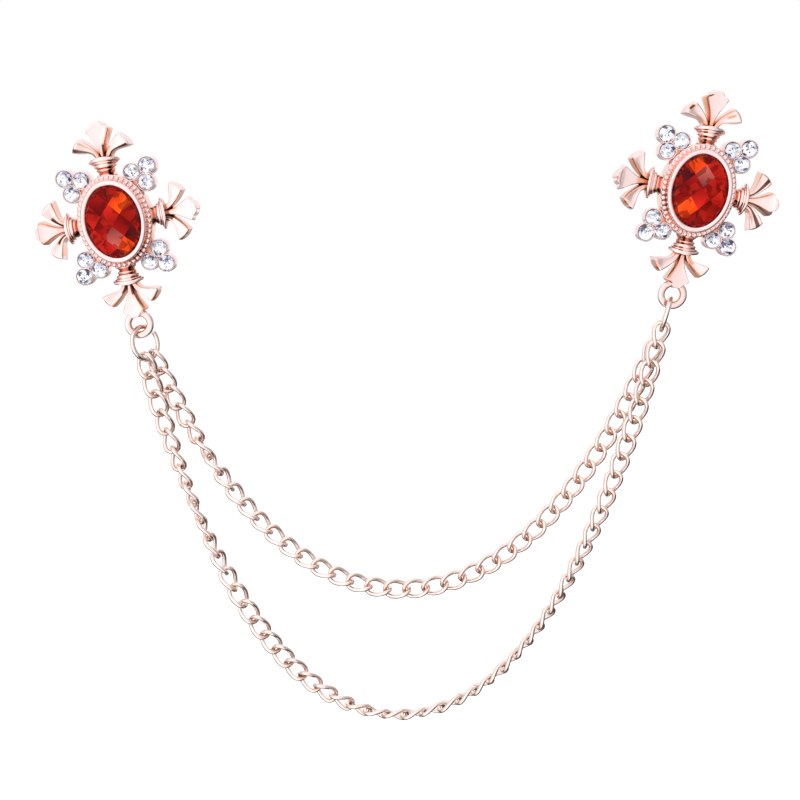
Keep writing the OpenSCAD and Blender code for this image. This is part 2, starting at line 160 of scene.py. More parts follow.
def mix(tree, share, one, other):
    """A colour between one and other."""
    return add_node(tree, "Mix", {"data_type": "RGBA"}, {0: share, 6: one, 7: other}, out=2)


def places_of(tree):
    return add_node(tree, "TexCoord", out=3)


def mottle(tree, scale, detail=3.0, at=None):
    """Noise on the piece's own coordinates, scale in cells to the metre."""
    values = {"Vector": at or places_of(tree), "Scale": scale, "Detail": detail}
    return add_node(tree, "TexNoise", {}, values)


def shards_of(tree, scale, at):
    """A level from 0 to 1 for each splinter of a broken pattern, scale in splinters to the metre."""
    shards = add_node(tree, "TexVoronoi", {}, {"Vector": at, "Scale": scale}, out=1)
    return add_node(tree, "SeparateColor", {}, {0: shards})


def attribute(tree, name, out=2):
    return add_node(tree, "Attribute", {"attribute_name": name}, out=out)


def bumped(tree, height, distance):
    return add_node(tree, "Bump", {}, {"Height": height, "Distance": distance, "Strength": 1.0})


def surface(name, **constants):
    """A material with one Principled surface. Returns the material, its tree and the surface's node."""
    material = bpy.data.materials.new(name)
    material.use_nodes = True
    tree = material.node_tree
    tree.nodes.clear()
    shader = tree.nodes.new("ShaderNodeBsdfPrincipled")
    output = tree.nodes.new("ShaderNodeOutputMaterial")
    tree.links.new(shader.outputs[0], output.inputs[0])
    for key, value in constants.items():
        shader.inputs[key.replace("_", " ")].default_value = value
    return material, tree, shader


def feed(tree, shader, **wires):
    for key, wire in wires.items():
        tree.links.new(wire.socket, shader.inputs[key.replace("_", " ")])


# Materials

def rose_gold(name, pale, amber, shadow_colour, roughness, wave):
    """Plated metal: pale, with painted amber shade and reflection, and painted near-black shade and
    reflection where it is darkest.

    The vertex value deep says which: 0 is pale, from about 0.5 amber, and above 1 near-black."""
    material, tree, shader = surface(name, Metallic=1.0)
    deep = attribute(tree, "deep")
    cloud = mottle(tree, 420.0)
    grain = mottle(tree, 5200.0, detail=2.0)
    # Painted shade: deep, broken up by a cloud of random tone, turns the metal amber and then near-black
    shade_and_cloud = (deep + (cloud - 0.5) * 0.3).clamp(0.0, 1.5)
    tone = mix(tree, shade_and_cloud.step(0.05, 0.75), pale, amber)
    tone = mix(tree, shade_and_cloud.step(0.8, 1.15), tone, shadow_colour)
    blush = mix(tree, mottle(tree, 160.0).step(0.35, 0.7) * 0.2, tone, colour(0.95, 0.66, 0.60))
    rough = (roughness + shade_and_cloud * 0.16 + (grain - 0.5) * 0.10).clamp(0.04, 0.9)
    relief = mottle(tree, 700.0, detail=1.0) * wave + grain * 0.06
    feed(tree, shader, Base_Color=blush, Roughness=rough, Normal=bumped(tree, relief, 0.00008))
    return material


def plated_wire(name, pale, amber):
    """Wire of the links and rings, a little rougher and with painted amber shade where one piece of wire lies
    in the next.
    """
    material, tree, shader = surface(name, Metallic=1.0)
    inner_shade = attribute(tree, "deep")
    tint = attribute(tree, "tint")
    cloud = mottle(tree, 600.0)
    # Painted amber shade where deep is high, broken up by a cloud of random tone
    tone = mix(tree, (inner_shade + (cloud - 0.5) * 0.4).step(0.3, 1.0), pale, amber)
    tone = mix(tree, tint * 0.35, tone, colour(0.94, 0.74, 0.67))
    rough = (0.13 + inner_shade * 0.15 + (cloud - 0.5) * 0.08).clamp(0.05, 0.6)
    relief = mottle(tree, 1500.0, detail=1.0)
    feed(tree, shader, Base_Color=tone, Roughness=rough, Normal=bumped(tree, relief, 0.00003))
    return material


def red_glass(name):
    """Red stone: each facet shows its own painted reflection, a broken picture of the foiled back."""
    material, tree, shader = surface(name, Specular_IOR_Level=0.03)
    facet = attribute(tree, "facet", out=0)
    shift = attribute(tree, "shift", out=1)
    at = add_node(tree, "VectorMath", {"operation": "ADD"}, {0: places_of(tree), 1: shift})
    light = shards_of(tree, 640.0, at)
    streak = mottle(tree, 300.0, detail=2.0, at=at)
    # Painted reflections: dark shards, bright splinters and bright streaks over each facet's painted tone
    tone = mix(tree, light.step(0.66, 0.69) * 0.6, facet, colour(0.14, 0.004, 0.004))
    tone = mix(tree, (1.0 - light).step(0.76, 0.79) * 0.3, tone, colour(0.62, 0.025, 0.006))
    tone = mix(tree, streak.step(0.60, 0.64) * 0.2, tone, colour(0.52, 0.012, 0.006))
    feed(tree, shader, Base_Color=tone, Roughness=0.04 + streak * 0.05)
    return material


def clear_glass(name):
    """Round clear stone on foil: facets painted white, bluish or dark for the light and shade they reflect,
    with a fine broken painted sparkle.
    """
    material, tree, shader = surface(name, Coat_Weight=1.0, Coat_Roughness=0.02)
    facet = attribute(tree, "facet", out=0)
    light = shards_of(tree, 1700.0, places_of(tree))
    # Painted sparkle: white splinters and dark specks
    tone = mix(tree, light.step(0.6, 0.7) * 0.5, facet, colour(0.98, 0.98, 1.0))
    tone = mix(tree, (1.0 - light).step(0.84, 0.88) * 0.4, tone, colour(0.06, 0.06, 0.13))
    feed(tree, shader, Base_Color=tone, Roughness=0.03 + light * 0.05)
    return material


def plain_floor(name):
    material, tree, shader = surface(name, Roughness=0.9)
    cloud = mottle(tree, 8.0)
    tone = mix(tree, cloud * 0.1, colour(0.95, 0.95, 0.95), colour(0.9, 0.9, 0.9))
    feed(tree, shader, Base_Color=tone)
    shader.inputs["Emission Color"].default_value = colour(1.0, 1.0, 1.0)
    shader.inputs["Emission Strength"].default_value = 0.25
    return material


# The amber and shadow colours below are painted shade, laid where the vertex value deep is high
CASTING = rose_gold(
    "rose_gold_casting", pale=colour(0.95, 0.725, 0.70), amber=colour(0.88, 0.38, 0.195),
    shadow_colour=colour(0.022, 0.009, 0.007), roughness=0.10, wave=0.5)
WIRE = plated_wire("rose_gold_wire", pale=colour(0.96, 0.80, 0.745), amber=colour(0.82, 0.42, 0.20))
PIN_STEEL = rose_gold(
    "pin_metal", pale=colour(0.90, 0.70, 0.60), amber=colour(0.60, 0.36, 0.24),
    shadow_colour=colour(0.10, 0.06, 0.05), roughness=0.22, wave=0.3)
RED = red_glass("red_stone")
CLEAR = clear_glass("clear_stone")


# Shaping

def scaled_turn(place, lean):
    """A brooch drawn on its back is stood up on its pin's place and leaned about the view."""
    stand = Matrix.Rotation(math.radians(90), 4, "X")
    tip = Matrix.Rotation(math.radians(lean), 4, "Y")
    return Matrix.Scale(MM, 4) @ Matrix.Translation((place[0], -STEM_OUT, place[1])) @ tip @ stand


def polar(radius, a, z):
    return Vector((radius * math.cos(a), radius * math.sin(a), z))


def deep_of(bm):
    """The vertex values of painted shade that rose_gold and plated_wire read."""
    return bm.verts.layers.float.get("deep") or bm.verts.layers.float.new("deep")


def new_shape():
    bm = bmesh.new()
    deep_of(bm)
    return bm


def wire_end(bm, diameter, segments, radius, filled=False):
    """The round end of a wire that is to be spun about the z axis at that radius."""
    made = bmesh.ops.create_circle(bm, segments=segments, radius=diameter / 2, cap_ends=filled)["verts"]
    stand = Matrix.Translation((radius, 0, 0)) @ Matrix.Rotation(QUARTER, 4, "X")
    bmesh.ops.transform(bm, matrix=stand, verts=made)
    return made


def joined(bm, part, matrix):
    """Carries a finished shape to its place and adds it to bm."""
    bmesh.ops.transform(part, matrix=matrix, verts=part.verts)
    mesh = bpy.data.meshes.new("part")
    part.to_mesh(mesh)
    part.free()
    bm.from_mesh(mesh)
    bpy.data.meshes.remove(mesh)


def spun(bm, profile, steps, deeps=None):
    """Turns a profile of (radius, height) points about the z axis."""
    deep = deep_of(bm)
    verts = [bm.verts.new((r, 0, z)) for r, z in profile]
    for vert, value in zip(verts, deeps or [0.0] * len(verts)):
        vert[deep] = value
    edges = [bm.edges.new(pair) for pair in zip(verts, verts[1:])]
    bmesh.ops.spin(
        bm, geom=verts + edges, cent=(0, 0, 0), axis=(0, 0, 1), angle=TURN, steps=steps, use_merge=True)


def edges_of(verts):
    """The edges that meet at some vertices, each once and always in the same order."""
    return list(dict.fromkeys(e for v in verts for e in v.link_edges))


def advanced(bm, edges, keys):
    """Extrudes a line of edges. Returns the new edges, and the new vertices with the old ones' keys."""
    made = bmesh.ops.extrude_edge_only(bm, edges=edges)["geom"]
    ahead = [g for g in made if isinstance(g, bmesh.types.BMEdge)]
    fresh = {}
    for v in [g for g in made if isinstance(g, bmesh.types.BMVert)]:
        fresh[v] = next(keys[e.other_vert(v)] for e in v.link_edges if e.other_vert(v) in keys)
    return ahead, fresh


def lofted(bm, rows, point, segments):
    """A closed skin over rings. point(row, angle) gives a ring's point, row[-1] its value of deep."""
    deep = deep_of(bm)
    first = bmesh.ops.create_circle(bm, segments=segments, radius=1.0)["verts"]
    angles = {v: math.atan2(v.co.y, v.co.x) for v in first}
    edges = edges_of(first)
    ends = [edges]
    for i, row in enumerate(rows):
        if i:
            edges, angles = advanced(bm, edges, angles)
        for v, a in angles.items():
            v.co = point(row, a)
            v[deep] = row[-1]
    ends.append(edges)
    for loop in ends:
        bmesh.ops.edgeloop_fill(bm, edges=loop)


def curve(points, steps):
    """A smooth line through the points, steps pieces to each span."""
    line = []
    last = len(points) - 1
    for i in range(last):
        before = points[max(i - 1, 0)]
        after = points[min(i + 2, last)]
        here = Vector(points[i])
        there = Vector(points[i + 1])
        for k in range(steps):
            t = k / steps
            leave = (there - Vector(before)) * 0.5
            arrive = (Vector(after) - here) * 0.5
            line.append(
                here * (2 * t**3 - 3 * t**2 + 1) + leave * (t**3 - 2 * t**2 + t)
                + there * (3 * t**2 - 2 * t**3) + arrive * (t**3 - t**2))
    line.append(Vector(points[last]))
    return line


def evened(line, count):
    """count points at equal distances along a line."""
    runs = [0.0]
    for a, b in zip(line, line[1:]):
        runs.append(runs[-1] + (b - a).length)
    out = []
    for k in range(count):
        want = runs[-1] * k / (count - 1)
        i = max(j for j in range(len(runs) - 1) if runs[j] <= want + 1e-9)
        t = (want - runs[i]) / max(runs[i + 1] - runs[i], 1e-9)
        out.append(line[i].lerp(line[i + 1], min(t, 1.0)))
    return out


MERGE_DISTANCE = 0.0005


def kept(bm, name, matrix, material, node, sharp=32.0):
    """Closes a shape, carries it to its place and makes it the piece that replaces a node."""
    bmesh.ops.remove_doubles(bm, verts=bm.verts, dist=MERGE_DISTANCE)
    bmesh.ops.recalc_face_normals(bm, faces=bm.faces)
    bmesh.ops.transform(bm, matrix=matrix, verts=bm.verts)
    mesh = bpy.data.meshes.new(name)
    bm.to_mesh(mesh)
    bm.free()
    mesh.materials.append(material)
    mesh.shade_smooth()
    mesh.set_sharp_from_angle(angle=math.radians(sharp))
    piece = bpy.data.objects.new(name, mesh)
    bpy.context.scene.collection.objects.link(piece)
    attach(piece, "root")
    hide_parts(node)


# Brooch castings

def oval_point(outset, z, a):
    """Point at the angle a on the stone's oval, moved outward by outset."""
    return Vector(((STONE_W / 2 + outset) * math.cos(a), (STONE_L / 2 + outset) * math.sin(a), z))


# Painted shade on the casting's back, and on the solder and web between the cups
BACK_TONE, SOLDER_TONE = 0.38, 0.75
# Painted shade in the groove: its tone, how near a tone counts as the groove, and the extra shade on the
# shaded side
GROOVE_TONE, GROOVE_NEAR, GROOVE_DARK = 0.2, 0.06, 0.95
SHADED_SIDES = {"left": -60.0, "right": 205.0}  # where each border's painted shade is darkest, in degrees


def shade_toward(place, toward):
    """1 at the angle toward, falling to 0 a quarter turn away from it."""
    return max(0.0, math.cos(math.atan2(place.y, place.x) - toward))


def add_bezel(bm, toward):
    """Back, border, groove for the beads, lip and seat, with painted shade on the back, walls and seat. The
    groove's painted shade is darkest at the angle toward.
    """
    lip = STONE_FIT + LIP_WALL
    border = lip + BORDER_W
    rows = [
        (border - 0.2, 0.0, BACK_TONE), (border, 0.2, 0.3), (border, BORDER_H - 0.2, 0.3),
        (border - 0.05, BORDER_H - 0.05, 0.05), (border - 0.14, BORDER_H, 0.0),
        (border - 0.22, BORDER_H - 0.05, 0.15), (border - 0.36, BORDER_H - 0.12, GROOVE_TONE),
        (lip + 0.10, BORDER_H - 0.12, GROOVE_TONE), (lip + 0.02, BORDER_H, 0.09), (lip, BORDER_H + 0.4, 0.09),
        (lip, LIP_H - 0.36, 0.05), (lip - 0.05, LIP_H - 0.17, 0.0), (lip - 0.17, LIP_H - 0.05, 0.0),
        (lip - 0.36, LIP_H, 0.0), (lip - 0.58, LIP_H - 0.02, 0.0), (lip - 0.78, LIP_H - 0.10, 0.0),
        (lip - 0.92, LIP_H - 0.22, 0.09), (-LIP_GRIP, LIP_H - 0.36, 0.6), (STONE_FIT, LIP_H - 0.42, 1.0),
        (STONE_FIT, SEAT_H, 1.0), (STONE_FIT - LEDGE_W, SEAT_H, 1.0), (STONE_FIT - LEDGE_W, SEAT_FLOOR, 1.0)]
    lofted(bm, rows, lambda row, a: oval_point(row[0], row[1], a), 112)
    deep = deep_of(bm)
    # Painted shade: the groove grows darker towards the angle toward
    for v in bm.verts:
        if abs(v[deep] - GROOVE_TONE) < GROOVE_NEAR:
            v[deep] += GROOVE_DARK * shade_toward(v.co, toward) ** 4


def bead_places():
    """Places at equal distances round the border."""
    outset = STONE_FIT + LIP_WALL + BORDER_W / 2
    fine = [oval_point(outset, BORDER_H, TURN * i / 360) for i in range(361)]
    around = sum((b - a).length for a, b in zip(fine, fine[1:]))
    count = round(around / BEAD_PITCH)
    return evened(fine, count + 1)[:-1]


def add_beads(bm, toward):
    """Flattened beads with painted shade, darkest below and towards the angle toward, and sunk where it is
    far.
    """
    for place in bead_places():
        shade_level = shade_toward(place, toward)
        bead = new_shape()
        bmesh.ops.create_uvsphere(bead, u_segments=14, v_segments=9, radius=BEAD_D / 2)
        bmesh.ops.scale(bead, verts=bead.verts, vec=BEAD_SHAPE)
        deep = deep_of(bead)
        for v in bead.verts:
            # Painted shade: darker low on each bead and towards the shaded side
            v[deep] = max(0.0, 0.02 + 0.45 * shade_level - v.co.z / BEAD_D * 0.9)
        outward = math.atan2(place.y / STONE_L, place.x / STONE_W)
        sunk = Vector((0, 0, -BEAD_SINK * (1.0 - shade_level)))
        joined(bm, bead, Matrix.Translation(place + sunk) @ Matrix.Rotation(outward, 4, "Z"))


def collar_point(row, a):
    """Point of one band: row gives along, half width, half height and the bow that draws its sides back."""
    along, half_w, half_h, bow = row[:4]
    c, s = math.cos(a), math.sin(a)
    return Vector((along - bow * c * c, half_w * c, max(half_h + half_h * s, 0.0)))


# Neck and collar, from the bezel outward: shares of their length, of the neck's width, and deep, the painted
# shade in the valleys between the bands
NECK_BANDS = [
    (-0.20, 1.28, 0.2), (0.00, 1.22, 0.2), (0.07, 1.05, 0.3), (0.12, 0.93, 0.7), (0.15, 0.92, 1.0),
    (0.19, 1.00, 0.3), (0.25, 1.10, 0.0), (0.31, 1.12, 0.0), (0.36, 1.08, 0.3), (0.39, 1.03, 0.9),
    (0.43, 1.15, 0.3), (0.49, 1.30, 0.0), (0.55, 1.34, 0.0), (0.60, 1.31, 0.3), (0.63, 1.27, 0.8),
    (0.67, 1.42, 0.2), (0.72, 1.55, 0.0), (0.755, 1.56, 0.3), (0.775, 1.51, 1.0), (0.80, 1.68, 0.2),
    (0.84, 1.79, 0.0), (0.90, 1.84, 0.0), (0.96, 1.82, 0.0), (1.00, 1.72, 0.1), (1.00, 1.56, 0.5),
    (0.97, 1.30, 0.9), (0.94, 0.90, 1.0)]
MARK_DARK, MARK_HALF, MARK_SOFT = 1.4, 9, 8  # the painted dark streak of reflection on the bands, its angles in degrees


def neck(length, marked):
    """Banded neck that widens like a goblet into the collar, with painted shade in the valleys between its
    bands. The bands carry a painted dark streak of reflection at the angle marked.
    """
    r = NECK_W / 2
    reach = length + COLLAR_L
    rows = []
    for share, wide, shade_level in NECK_BANDS:
        high = min(wide, COLLAR_H / NECK_W + (wide - 1.8) * 0.10) * r
        rows.append((share * reach, wide * r, high, 0.55 * max(0.0, wide - 1.0), shade_level))
    bm = new_shape()
    lofted(bm, rows, collar_point, 56)
    deep = deep_of(bm)
    for v in bm.verts:
        at = math.degrees(math.atan2(v.co.z - COLLAR_H / 2, v.co.y))
        # Painted dark streak of reflection across the bands at the angle marked
        if 0.05 < v[deep] < 0.99 or v.co.x < reach * 0.3:
            streak = faded(at, marked - MARK_HALF, marked + MARK_HALF, MARK_SOFT)
            v[deep] = max(v[deep], MARK_DARK * streak)
    return bm


def faded(value, low, high, soft):
    """1 between low and high, falling to 0 over a soft distance outside them."""
    out = max(low - value, value - high, 0.0)
    return max(0.0, 1.0 - out / soft)


# Petals' edges: shares across half a petal's or a fan's width, and along its length
MIDDLE_RAIL = [
    (0.17, -0.08), (0.18, 0.08), (0.27, 0.24), (0.45, 0.41), (0.70, 0.57), (0.93, 0.71), (1.0, 0.78),
    (0.82, 0.84), (0.61, 0.87), (0.50, 0.93), (0.30, 0.985), (0.03, 1.0)]
SIDE_INNER = [(0.08, -0.13), (0.12, 0.12), (0.22, 0.36), (0.36, 0.60), (0.53, 0.83), (0.69, 1.0)]
SIDE_OUTER = [(0.23, -0.13), (0.33, 0.17), (0.47, 0.28), (0.66, 0.33), (0.85, 0.37), (1.0, 0.42)]

# Angle of the painted dark streak on each neck's bands, by brooch and arm
NECK_MARKS = {
    ("left", 90): 130, ("left", 180): 38, ("left", 0): 140, ("left", 270): 50,
    ("right", 90): 60, ("right", 180): 35, ("right", 0): 120, ("right", 270): 118}

# Shaded places on the petals: from and to along the petal, from and to across it, and how dark.
# Petals are 1 and -1 beside the middle one, 0. Across runs from -1 next to the middle petal to 1.
AMBER_SHADE, BROWN_SHADE, DARK_SHADE = 0.68, 0.98, 1.5
PETAL_MARKS = {
    ("left", 90, 1): [(0.10, 0.97, 0.45, 0.85, DARK_SHADE), (0.05, 0.85, -0.60, -0.40, AMBER_SHADE)],
    ("left", 90, -1): [(0.05, 0.80, 0.72, 0.97, DARK_SHADE), (0.00, 0.30, -0.9, -0.5, AMBER_SHADE)],
    ("left", 90, 0): [(0.05, 0.22, -0.9, -0.3, DARK_SHADE), (0.1, 0.55, -0.97, -0.85, AMBER_SHADE)],
    ("left", 180, -1): [(0.00, 0.42, -0.85, -0.25, DARK_SHADE), (0.2, 0.9, 0.85, 0.95, AMBER_SHADE)],
    ("left", 180, 0): [(0.10, 0.62, -0.95, -0.85, AMBER_SHADE), (0.12, 0.62, 0.85, 0.98, BROWN_SHADE)],
    ("left", 180, 1): [(0.02, 0.38, -0.5, 0.1, DARK_SHADE), (0.3, 0.7, 0.8, 0.95, AMBER_SHADE)],
    ("left", 0, 1): [(0.00, 0.60, -0.95, -0.85, AMBER_SHADE)],
    ("left", 0, 0): [(0.05, 0.22, 0.5, 0.9, AMBER_SHADE)],
    ("left", 0, -1): [(0.00, 0.18, -0.9, 0.1, DARK_SHADE), (0.2, 0.95, -0.95, -0.85, AMBER_SHADE),
                      (0.93, 1.00, 0.1, 0.9, BROWN_SHADE)],
    ("left", 270, -1): [(0.00, 0.24, -0.9, -0.4, DARK_SHADE), (0.2, 0.9, -0.98, -0.75, BROWN_SHADE)],
    ("left", 270, 0): [(0.03, 0.20, 0.3, 0.95, DARK_SHADE), (0.15, 0.62, 0.80, 0.98, BROWN_SHADE)],
    ("left", 270, 1): [(0.90, 0.98, -0.8, 0.5, BROWN_SHADE), (0.0, 0.5, 0.8, 0.95, AMBER_SHADE)],
    ("right", 90, 1): [(0.82, 0.92, -0.5, 0.3, DARK_SHADE), (0.0, 0.4, 0.5, 0.9, AMBER_SHADE)],
    ("right", 90, 0): [(0.62, 0.72, 0.70, 0.92, DARK_SHADE), (0.1, 0.60, 0.82, 0.98, BROWN_SHADE)],
    ("right", 90, -1): [(0.10, 0.85, -0.95, -0.80, AMBER_SHADE), (0.45, 0.75, -0.3, -0.05, BROWN_SHADE)],
    ("right", 180, -1): [(0.20, 0.95, -0.98, -0.80, BROWN_SHADE), (0.0, 0.4, 0.8, 0.95, AMBER_SHADE)],
    ("right", 180, 0): [(0.86, 0.92, -0.1, 0.6, BROWN_SHADE), (0.05, 0.20, -0.9, 0.9, AMBER_SHADE)],
    ("right", 180, 1): [(0.10, 0.90, -0.95, -0.80, AMBER_SHADE), (0.90, 0.98, -0.6, 0.1, BROWN_SHADE)],
    ("right", 0, 1): [(0.06, 0.90, -0.60, -0.15, DARK_SHADE), (0.0, 0.9, 0.88, 0.95, AMBER_SHADE)],
    ("right", 0, 0): [(0.05, 0.62, -0.97, -0.72, DARK_SHADE), (0.05, 0.5, 0.85, 0.95, AMBER_SHADE)],
    ("right", 0, -1): [(0.06, 0.95, -0.45, 0.05, DARK_SHADE), (0.0, 0.4, 0.8, 0.95, AMBER_SHADE)],
    ("right", 270, -1): [(0.90, 0.97, -0.6, 0.6, BROWN_SHADE), (0.0, 0.6, -0.95, -0.8, AMBER_SHADE)],
    ("right", 270, 0): [(0.62, 0.70, -0.97, -0.75, DARK_SHADE), (0.12, 0.5, -0.95, -0.8, AMBER_SHADE)],
    ("right", 270, 1): [(0.25, 0.98, -0.95, -0.60, BROWN_SHADE), (0.0, 0.3, -0.3, 0.5, AMBER_SHADE)]}

ACROSS = 16  # strips across a petal
# Painted shade at the foot of the petals' walls and on their undersides
WALL_TONE = 0.40
MIDDLE_FORM = {"dip": 0.9, "hollow": 0.1, "radius": 0.2, "tip": 0.0, "draft": 0.22}
SIDE_FORM = {"dip": 0.8, "hollow": 0.26, "radius": 0.3, "tip": 0.3, "draft": 0.2}


def rounded(inset, radius):
    """How far a rounded edge has fallen at that distance in from it."""
    if inset >= radius:
        return 0.0
    return radius - math.sqrt(max(radius * radius - (radius - inset) ** 2, 0.0))


def shade_at(marks, s, u):
    """How dark the shaded places make a petal at s along it and u across it."""
    return max([dark * faded(s, a, b, 0.06) * faded(u, c, d, 0.12) for a, b, c, d, dark in marks] + [0.0])


def petal(inner, outer, marks, dip, hollow, radius, tip, draft):
    """A blade between two rails, with a hollowed top and walls that widen downward.

    dip lowers the top towards the stem, hollow is its dish, radius rounds its edges, tip bulges its end,
    and draft is how much the walls widen."""
    bm = new_shape()
    deep = deep_of(bm)
    last = len(inner) - 1
    middles = [(a + b) / 2 for a, b in zip(inner, outer)]
    ahead = (middles[-1] - middles[-4]).normalized()
    keys = {bm.verts.new((0, 0, 0)): i for i in range(last + 1)}
    line = list(keys)
    edges = [bm.edges.new(pair) for pair in zip(line, line[1:])]
    spots = {}
    for k in range(ACROSS + 1):
        u = -math.cos(math.pi * k / ACROSS)
        if k:
            edges, keys = advanced(bm, edges, keys)
        for v, i in keys.items():
            s = i / last
            half = (outer[i] - inner[i]).length / 2
            bulge = tip * (1 - u * u) * max(0.0, (s - 0.8) / 0.2)
            place = inner[i].lerp(outer[i], (u + 1) / 2) + ahead * bulge
            left = (middles[-1] - middles[i]).length
            fall = max(rounded((1 - abs(u)) * half, min(radius, half)), rounded(left, radius))
            dish = hollow * (1 - u * u) * math.sin(math.pi * min(s * 1.1, 1.0))
            v.co = (place.x, place.y, PETAL_H - dip * (1 - s) ** 2 - fall - dish)
            # Painted shade: darker towards the stem, where the top dips to the collar, and at the marked
            # places
            v[deep] = max(0.0, 0.6 - s * 1.7, shade_at(marks, s, u))
            spots[v] = (i, u)
    grown = bmesh.ops.extrude_face_region(bm, geom=list(bm.faces), use_keep_orig=True)["geom"]
    for v in [g for g in grown if isinstance(g, bmesh.types.BMVert)]:
        joint = [e.other_vert(v) for e in v.link_edges if e.other_vert(v) in spots]
        if joint:
            i, u = spots[joint[0]]
            push = (outer[i] - inner[i]).normalized() * (u * draft) if abs(u) > 0.99 else Vector((0, 0))
            if i == last:
                push = push + ahead * draft
            v.co.xy = v.co.xy + push
        v.co.z = 0.0
        v[deep] = WALL_TONE
    return bm


def rail(shares, length, width, side, count):
    """A rail's points, closer together towards the petal's end."""
    fine = 120
    points = [(along * length, side * across * width / 2) for across, along in shares]
    line = evened(curve(points, 8), fine + 1)
    return [line[round(fine * (1 - (1 - i / (count - 1)) ** 1.7))] for i in range(count)]


def paired(shares, length, width):
    """The two rails of the middle petal, point for point at the same distance along it."""
    line = curve([(along * length, across * width / 2) for across, along in shares], 3)
    return [Vector((p.x, -p.y)) for p in line], [Vector((p.x, p.y)) for p in line]


def add_arm(bm, brooch, turn, start, length, middle_l):
    """Neck and three petals of the arm that points to the angle turn and starts that far out."""
    matrix = Matrix.Rotation(math.radians(turn), 4, "Z") @ Matrix.Translation((start, 0, 0))
    joined(bm, neck(length, NECK_MARKS[brooch, turn]), matrix)
    ahead = matrix @ Matrix.Translation((length + COLLAR_L, 0, 0))
    inner, outer = paired(MIDDLE_RAIL, middle_l, MIDDLE_W)
    joined(bm, petal(inner, outer, PETAL_MARKS[brooch, turn, 0], **MIDDLE_FORM), ahead)
    for side in (1, -1):
        inner = rail(SIDE_INNER, SIDE_L, FAN_W, side, 18)
        outer = rail(SIDE_OUTER, SIDE_L, FAN_W, side, 18)
        joined(bm, petal(inner, outer, PETAL_MARKS[brooch, turn, side], **SIDE_FORM), ahead)


def at_corner(corner):
    turn = math.atan2(corner[1], corner[0])
    place = (corner[0] * CLUSTER_DX / 2, corner[1] * CLUSTER_DY / 2, 0)
    return Matrix.Translation(place) @ Matrix.Rotation(turn, 4, "Z")


def cluster_place(i):
    return polar(CLUSTER_R, TURN * i / 3, 0)


def add_cluster(bm, corner):
    """Three cups with thin rims, a fillet of solder between them and the web to the border."""
    rim = (CUP_R + CUP_HOLE_R) / 2
    profile = [
        (0.0, 0.0), (CUP_R - 0.12, 0.0), (CUP_R, 0.12), (CUP_R, CUP_H - 0.16), (CUP_R - 0.04, CUP_H - 0.05),
        (rim, CUP_H), (CUP_HOLE_R + 0.03, CUP_H - 0.04), (CUP_HOLE_R, CUP_H - 0.14), (CUP_HOLE_R, CUP_FLOOR),
        (0.0, CUP_FLOOR)]
    # Painted shade on the cup's foot and down into its hollow
    deeps = [BACK_TONE, BACK_TONE, 0.1, 0.1, 0.0, 0.0, 0.1, 0.4, 0.7, 0.7]
    matrix = at_corner(corner)
    for i in range(3):
        cup = new_shape()
        spun(cup, profile, 40, deeps)
        joined(bm, cup, matrix @ Matrix.Translation(cluster_place(i)))
    solder = new_shape()
    top = CUP_H - SOLDER_DROP
    bmesh.ops.create_cone(
        solder, cap_ends=True, segments=24, radius1=SOLDER_FOOT_R, radius2=SOLDER_TOP_R, depth=top - WEB_FOOT)
    bmesh.ops.translate(solder, verts=solder.verts, vec=(0, 0, (top + WEB_FOOT) / 2))
    reach = CLUSTER_R + CUP_R
    web = new_shape()
    bmesh.ops.create_cube(web, size=1.0)
    for shape in (solder, web):
        deep = deep_of(shape)
        for v in shape.verts:
            v[deep] = SOLDER_TONE
    joined(bm, solder, matrix)
    size = Matrix.Diagonal((reach, WEB_W, WEB_H - WEB_FOOT, 1))
    joined(bm, web, matrix @ Matrix.Translation((-reach / 2, 0, (WEB_H + WEB_FOOT) / 2)) @ size)


def add_loop(bm):
    """Cast loop behind the lowest petal: a squarish wire, with painted shade on the side of its hole."""
    loop = new_shape()
    centre_r = (LOOP_HOLE_R + LOOP_R) / 2
    half_w = (LOOP_R - LOOP_HOLE_R) / 2
    half_t = LOOP_T / 2
    squareness = 0.7
    profile, deeps = [], []
    for k in range(17):
        c, s = math.cos(TURN * k / 16), math.sin(TURN * k / 16)
        x = math.copysign(abs(c) ** squareness, c)
        z = math.copysign(abs(s) ** squareness, s)
        profile.append((centre_r + half_w * x, half_t + half_t * z))
        deeps.append(0.1 + 0.8 * max(0.0, -c) ** 2)
    spun(loop, profile, 64, deeps)
    joined(bm, loop, Matrix.Translation((0, LOOP_Y, 0)))


def casting(side):
    bm = new_shape()
    toward = math.radians(SHADED_SIDES[side])
    add_bezel(bm, toward)
    add_beads(bm, toward)
    for turn in (0, 180):
        add_arm(bm, side, turn, BORDER_RX, NECK_SIDE, MIDDLE_SIDE)
    for turn in (90, 270):
        add_arm(bm, side, turn, BORDER_RY, NECK_END, MIDDLE_END)
    for corner in CORNERS:
        add_cluster(bm, corner)
    add_loop(bm)
    matrix = scaled_turn(PLACES[side], LEANS[side])
    kept(bm, "brooch_casting_" + side, matrix, CASTING, "brooch_" + side)


# Stones

def dome_z(x, y):
    """Height of the dome that the facets' corners lie on."""
    return STONE_TOP - ((x / FACET_W) ** 2 + (y / FACET_L) ** 2) * FACET_STEP


# Colours of the red stone's painted reflections, from dark shade to orange gleams
DEEP_RED = (0.27, 0.0055, 0.005)
BRIGHT_RED = (0.46, 0.012, 0.008)
RED_ORANGE = (0.82, 0.06, 0.006)
ORANGE = (0.98, 0.18, 0.010)
SALMON = (0.42, 0.08, 0.065)
MAROON = (0.10, 0.007, 0.007)
DUSKY = (0.17, 0.035, 0.035)

